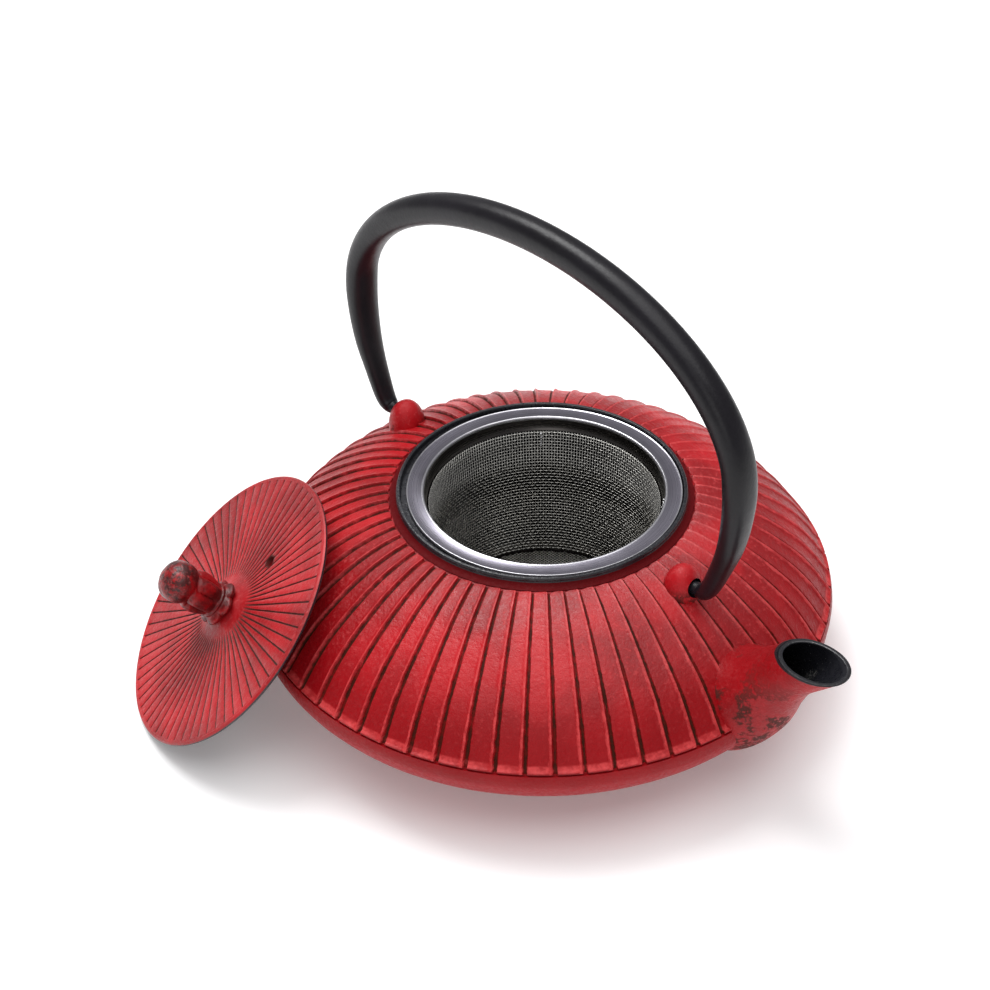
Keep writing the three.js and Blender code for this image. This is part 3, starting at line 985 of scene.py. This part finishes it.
def makeLid():
    slots = [redLid, blackEnamel]
    disc = stripMesh("lidDisc", lidRows(), ribs["count"])
    runTree(disc, bpy.data.node_groups["ringOfRibs"], {
        "Rib Count": ribs["count"], "First Groove": 0.0, "Unevenness": 0.05 * mm,
        "Unevenness Scale": 160.0, "Seed": 7.0, "Enamel": redLid, "Rim Enamel": blackEnamel,
        "Rim Radius": -1.0, "Rim Height": 1.0})
    giveSlots(disc, slots)
    faceOut(disc)
    carve(disc, [
        ("DIFFERENCE", rod("vent", lid["ventRadius"], -8, 8, slots, lid["ventPlace"])),
        ("DIFFERENCE", rod("stemHole", lid["stemRadius"] + lid["gap"], -8, 8, slots))])
    vent = Vector(lid["ventPlace"]) * mm
    for face in disc.data.polygons:
        inVent = (face.center.xy - vent).length < (lid["ventRadius"] + 0.1) * mm
        face.material_index = 1 if face.center.z < -0.4 * mm and not inVent else 0
    soften(disc, 38)
    setLeaning(disc)
    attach(disc, "lid")
    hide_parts("lid")
    return disc


knob = dict(
    base=2.7,  # height of the blossom's underside over the lid's top plane
    petals=6, sides=96, stemDown=8.7, threadPitch=0.7, threadDepth=0.28,
    # [height over the base, radius, petal wave, wave turn in petals]
    rows=[(0.0, 6.2, 0.08, 0), (0.35, 6.55, 0.10, 0), (0.9, 6.7, 0.11, 0), (1.5, 6.35, 0.10, 0),
          (1.9, 5.8, 0.06, 0), (2.3, 5.3, 0.02, 0), (2.7, 5.45, 0.0, 0), (3.1, 5.4, 0.0, 0),
          (3.5, 5.0, 0.03, 0.5), (4.4, 5.1, 0.06, 0.5), (5.8, 5.4, 0.10, 0.5), (7.6, 5.6, 0.12, 0.5),
          (9.4, 5.6, 0.12, 0.5), (10.8, 5.4, 0.09, 0.5), (11.6, 5.2, 0.04, 0.25), (12.2, 5.2, 0.02, 0),
          (12.9, 5.7, 0.04, 0), (14.2, 6.1, 0.04, 0), (15.8, 6.15, 0.03, 0), (17.2, 5.85, 0.03, 0),
          (18.5, 5.05, 0.03, 0), (19.5, 3.9, 0.03, 0), (20.2, 2.5, 0.02, 0), (20.5, 1.0, 0.0, 0)],
)


def makeKnob():
    rings = []
    for z, r, wave, turn in smoothLine(knob["rows"], 3):
        ring = []
        for i in range(knob["sides"]):
            a = 2 * pi * i / knob["sides"]
            swell = abs(cos((a * knob["petals"] + 2 * pi * turn) / 2)) ** 0.8 * 2 - 1.2
            reach = r * (1 + wave * swell)
            ring.append((reach * cos(a), reach * sin(a), knob["base"] + z))
        rings.append(ring)
    obj = loft("lidKnob", rings, [redKnob])
    thread = []
    low, high = knob["base"] - knob["stemDown"], knob["base"] + 1.0
    steps = int((high - low) / (knob["threadPitch"] / 2))
    for i in range(steps + 1):
        r = lid["stemRadius"] - (knob["threadDepth"] if i % 2 else 0.0)
        thread.append([(r * c, r * s, low + (high - low) * i / steps) for c, s in around(24)])
    carve(obj, [("UNION", loft("stem", thread, [redKnob]))])
    soften(obj, 45)
    setLeaning(obj)
    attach(obj, "lid")
    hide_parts("lid_knob")
    return obj


def makeNut():
    top = -lid["thickness"] - lid["gap"]
    rings = []
    for z, r, roundness in ((-2.6, 3.85, 1.0), (-2.35, 4.25, 0.35), (-2.1, 4.6, 0.0), (-0.5, 4.6, 0.0),
                            (-0.25, 4.25, 0.35), (0.0, 3.85, 1.0)):
        ring = []
        for i in range(48):
            a = 2 * pi * i / 48
            flat = cos(pi / 6) / cos((a % (pi / 3)) - pi / 6)
            reach = r * (flat + (1 - flat) * roundness)
            ring.append((reach * cos(a), reach * sin(a), top + z))
        rings.append(ring)
    obj = loft("knobNut", rings, [nutSteel])
    carve(obj, [("DIFFERENCE", rod("nutHole", lid["stemRadius"] + 0.15, top - 5, top + 5, [nutSteel]))])
    soften(obj, 30)
    setLeaning(obj)
    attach(obj, "lid")
    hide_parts("knob_nut")
    return obj


lidDisc, lidKnob, knobNut = makeLid(), makeKnob(), makeNut()
print("lid, knob and nut made:", len(lidDisc.data.polygons), len(lidKnob.data.polygons), "faces")

# ---- strainer: rolled ring, collar, woven basket, hoop
strainer = dict(
    offset=(0.55, 0.5), top=60.0,
    # ring and collar profile, [radius, height under the ring's top]
    ringProfile=[(34.75, -4.55), (35.0, -4.5), (35.15, -4.2), (35.3, -2.5), (35.3, -1.0), (39.65, -1.0),
                 (39.92, -0.8), (40.0, -0.5), (39.96, -0.18), (39.86, -0.04), (39.75, 0.0), (39.64, -0.04),
                 (39.54, -0.12), (39.3, -0.15), (35.7, -0.15), (35.55, -0.08), (35.38, 0.0), (35.16, -0.04),
                 (34.98, -0.2), (34.86, -0.5), (34.8, -1.2), (34.74, -2.6), (34.4, -3.9), (34.1, -4.4),
                 (34.3, -4.55)],
    wireSpacing=0.85, wire=0.32, weave=0.17,
    wires=240, hoops=41, topRadius=33.6, bottomRadius=30.3, topHeight=-4.3, bottomHeight=-47.6,
    floorHeight=-47.9, floorRadius=29.6, floorWires=70, weldRagged=0.22,
    hoopProfile=[(28.6, -48.95), (31.5, -48.95), (31.75, -48.7), (31.95, -45.4), (31.85, -45.2),
                 (31.6, -45.2), (31.45, -45.4), (31.2, -48.3), (31.0, -48.4), (28.6, -48.4)],
)


seams = [
    dict(name="meshSeam", azimuth=136, start=(33.45, -4.9), end=(33.15, -9.4), marks=8, size=0.27, seed=3),
    dict(name="collarSeam", azimuth=38, start=(34.75, -1.8), end=(33.7, -8.2), marks=10, size=0.25, seed=8),
]


def repeated(curve, count):
    return node("GeometryNodeDuplicateElements", {"Geometry": curve, "Amount": count}, domain="SPLINE")


def rowNumber(index, count):
    return calc("FLOOR", calc("DIVIDE", plus(index, 0.25), count))


def byTurns(count):
    # 1 for odd numbers, -1 for even ones
    return minus(times(calc("FLOORED_MODULO", count, 2.0), 2.0), 1.0)


def onCircle(shape, radius, angle, height):
    place = joinPlace(times(radius, calc("COSINE", angle)), times(radius, calc("SINE", angle)), height)
    return node("GeometryNodeSetPosition", {"Geometry": shape, "Position": place})


def wireAlong(curves, given):
    profile = node("GeometryNodeCurvePrimitiveCircle", {"Resolution": 4, "Radius": given["Wire Radius"]})
    wire = node("GeometryNodeCurveToMesh", {
        "Curve": node("GeometryNodeJoinGeometry", {0: curves}), "Profile Curve": profile, "Fill Caps": True})
    return node("GeometryNodeSetPosition", {"Geometry": wire, "Offset": given["Centre"]})


def endWithFinish(tree, shape, given):
    real = node("GeometryNodeRealizeInstances", {0: shape})
    return endTree(tree, node("GeometryNodeSetMaterial", {"Geometry": real, "Material": given["Finish"]}))


def wovenWallTree():
    tree, given = geometryTree(
        "wovenWall", Int=["Wires", "Hoops"], Vector=["Centre"], Material=["Finish"],
        Float=["Top Radius", "Bottom Radius", "Top Height", "Bottom Height", "Wire Radius", "Weave Depth"])
    index = node("GeometryNodeInputIndex")
    slope = minus(given["Top Radius"], given["Bottom Radius"])
    rise = minus(given["Top Height"], given["Bottom Height"])
    # hoops pass in front of and behind the uprights by turns
    circle = node("GeometryNodeCurvePrimitiveCircle", {"Resolution": given["Wires"], "Radius": 1.0})
    hoop = rowNumber(index, given["Wires"])
    share = calc("DIVIDE", plus(hoop, 0.5), given["Hoops"])
    radius = plus(timesPlus(share, slope, given["Bottom Radius"]),
                  times(byTurns(plus(index, hoop)), given["Weave Depth"]))
    angle = calc("DIVIDE", times(index, 2 * pi), given["Wires"])
    hoops = onCircle(repeated(circle, given["Hoops"]), radius, angle,
                     timesPlus(share, rise, given["Bottom Height"]))
    # uprights
    line = node("GeometryNodeCurvePrimitiveLine", {"Start": (0, 0, 0), "End": (0, 0, 1)})
    end = calc("FLOORED_MODULO", index, 2.0)
    turn = calc("DIVIDE", times(rowNumber(index, 2.0), 2 * pi), given["Wires"])
    uprights = onCircle(repeated(line, given["Wires"]), timesPlus(end, slope, given["Bottom Radius"]),
                        turn, timesPlus(end, rise, given["Bottom Height"]))
    return endWithFinish(tree, wireAlong([hoops, uprights], given), given)


def wovenFloorTree():
    tree, given = geometryTree(
        "wovenFloor", Int=["Wires"], Vector=["Centre"], Material=["Finish"],
        Float=["Spacing", "Floor Radius", "Wire Radius", "Weave Depth"])
    index = node("GeometryNodeInputIndex")
    line = node("GeometryNodeCurvePrimitiveLine", {"Start": (0, 0, 0), "End": (1, 0, 0)})
    fine = node("GeometryNodeResampleCurve", {"Curve": line, "Count": given["Wires"]})
    many = repeated(fine, given["Wires"])
    row = rowNumber(index, given["Wires"])
    column = calc("FLOORED_MODULO", index, given["Wires"])
    middle = calc("DIVIDE", minus(given["Wires"], 1.0), 2.0)
    x, y = (times(minus(number, middle), given["Spacing"]) for number in (column, row))
    outside = calc("GREATER_THAN", plus(times(x, x), times(y, y)),
                   times(given["Floor Radius"], given["Floor Radius"]))
    curves = []
    for first, second, sign in ((x, y, 0.5), (y, x, -0.5)):
        place = joinPlace(first, second, times(byTurns(plus(column, row)), given["Weave Depth"], sign))
        placed = node("GeometryNodeSetPosition", {"Geometry": many, "Position": place})
        curves.append(node("GeometryNodeDeleteGeometry", {"Geometry": placed, "Selection": outside},
                           domain="POINT"))
    return endWithFinish(tree, wireAlong(curves, given), given)


def weldMarksTree():
    tree, given = geometryTree(
        "weldMarks", Int=["Marks", "Seed"], Vector=["Start", "Step"], Float=["Size", "Ragged"],
        Material=["Finish"])
    line = node("GeometryNodeMeshLine", {
        "Count": given["Marks"], "Start Location": given["Start"], "Offset": given["Step"]})
    ball = node("GeometryNodeMeshIcoSphere", {"Radius": given["Size"], "Subdivisions": 2})
    spread = node("FunctionNodeRandomValue", {0: (-1, -1, -1), 1: (1, 1, 1), "Seed": given["Seed"]},
                  data_type="FLOAT_VECTOR")
    shift = node("ShaderNodeVectorMath", {0: spread, "Scale": given["Ragged"]}, operation="SCALE")
    ragged = node("GeometryNodeSetPosition", {"Geometry": line, "Offset": shift})
    marks = node("GeometryNodeInstanceOnPoints", {
        "Points": ragged, "Instance": ball, "Scale": (1.5, 1.5, 0.8)})
    return endWithFinish(tree, marks, given)


def makeWelds(tree, seam):
    # a row of small weld marks down the seam, from [radius, height] to [radius, height]
    a = radians(seam["azimuth"])
    ends = []
    for r, z in (seam["start"], seam["end"]):
        x, y = strainer["offset"]
        ends.append(Vector((x + r * cos(a), y + r * sin(a), strainer["top"] + z)) * mm)
    obj = runTree(emptyPiece(seam["name"]), tree, {
        "Marks": seam["marks"], "Start": ends[0], "Step": (ends[1] - ends[0]) / (seam["marks"] - 1),
        "Size": seam["size"] * mm, "Ragged": strainer["weldRagged"] * mm, "Seed": seam["seed"],
        "Finish": nutSteel})
    soften(obj, 180)
    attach(obj, "strainer")
    return obj


def placeStrainer(profile, name, count):
    obj = turned(name, profile, count, [ringSteel], closedLoop=True)
    obj.data.transform(Matrix.Translation([c * mm for c in (*strainer["offset"], strainer["top"])]))
    return obj


def ownStrainer(obj, sharpAngle, replaced):
    soften(obj, sharpAngle)
    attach(obj, "strainer")
    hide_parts(replaced)


def makeStrainer():
    ring = placeStrainer(strainer["ringProfile"], "strainerRing", 224)
    ownStrainer(ring, 60, "strainer_ring")
    hoop = placeStrainer(strainer["hoopProfile"], "strainerHoop", 128)
    ownStrainer(hoop, 50, "strainer_hoop")
    centre = Vector((*strainer["offset"], 0)) * mm
    wall = runTree(emptyPiece("strainerWall"), wovenWallTree(), {
        "Wires": strainer["wires"], "Hoops": strainer["hoops"],
        "Top Radius": strainer["topRadius"] * mm, "Bottom Radius": strainer["bottomRadius"] * mm,
        "Top Height": (strainer["top"] + strainer["topHeight"]) * mm,
        "Bottom Height": (strainer["top"] + strainer["bottomHeight"]) * mm,
        "Wire Radius": strainer["wire"] / 2 * mm, "Weave Depth": strainer["weave"] * mm,
        "Centre": centre, "Finish": wireSteel})
    ownStrainer(wall, 180, "strainer_wall")
    base = runTree(emptyPiece("strainerFloor"), wovenFloorTree(), {
        "Wires": strainer["floorWires"], "Spacing": strainer["wireSpacing"] * mm,
        "Floor Radius": strainer["floorRadius"] * mm, "Wire Radius": strainer["wire"] / 2 * mm,
        "Weave Depth": strainer["weave"] * mm, "Finish": floorSteelPaintedLight,
        "Centre": centre + Vector((0, 0, (strainer["top"] + strainer["floorHeight"]) * mm))})
    ownStrainer(base, 180, "strainer_floor")
    welds = weldMarksTree()
    return [ring, hoop, wall, base] + [makeWelds(welds, seam) for seam in seams]


strainerPieces = makeStrainer()
print("strainer made:", [len(o.data.polygons) for o in strainerPieces], "faces")
